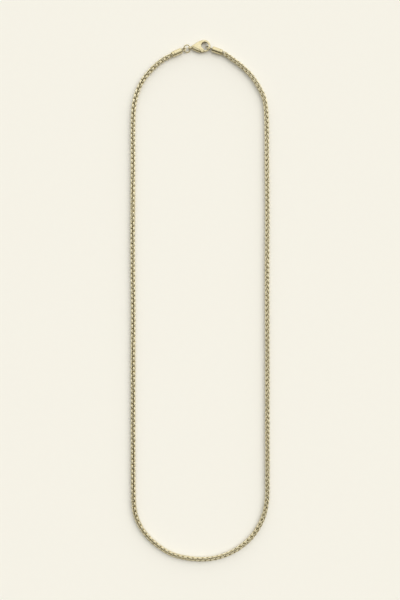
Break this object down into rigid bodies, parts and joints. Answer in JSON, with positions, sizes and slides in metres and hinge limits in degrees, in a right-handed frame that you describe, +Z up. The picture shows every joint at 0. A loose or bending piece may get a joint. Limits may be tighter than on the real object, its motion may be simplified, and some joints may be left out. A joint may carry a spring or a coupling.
{
  "type": "wheat chain necklace",
  "caption": "Gold wheat chain necklace lying closed in a long loop, with a barrel cap at each end, a jump ring and a lobster clasp whose lever turns on its rivet.",
  "frame": {"origin": "on the surface the necklace lies on, under the middle of its outline's box", "axes": "+Y along the necklace's length towards the clasp, +Z up from the surface, +X to the side of the cap that hangs in the clasp's hook"},
  "size_m": [0.0604, 0.2255, 0.0024],
  "materials": {
    "chain_gold": "polished",
    "fitting_gold": "polished"
  },
  "bodies": {
    "necklace": {"wheat_chain": "chain_gold", "end_cap_left": "fitting_gold", "end_cap_right": "fitting_gold", "jump_ring": "fitting_gold", "clasp_body": "fitting_gold", "lever_rivet": "fitting_gold"},
    "lever": {"clasp_lever": "fitting_gold"}
  },
  "joints": [
    {"name": "lever_hinge", "type": "hinge", "parent": "necklace", "child": "lever", "pos_m": [0.00073, 0.10793, 0.00105], "axis": [0, 0, 1], "range_deg": [0, 18], "stiffness_Nm_per_rad": 0.0003}
  ]
}
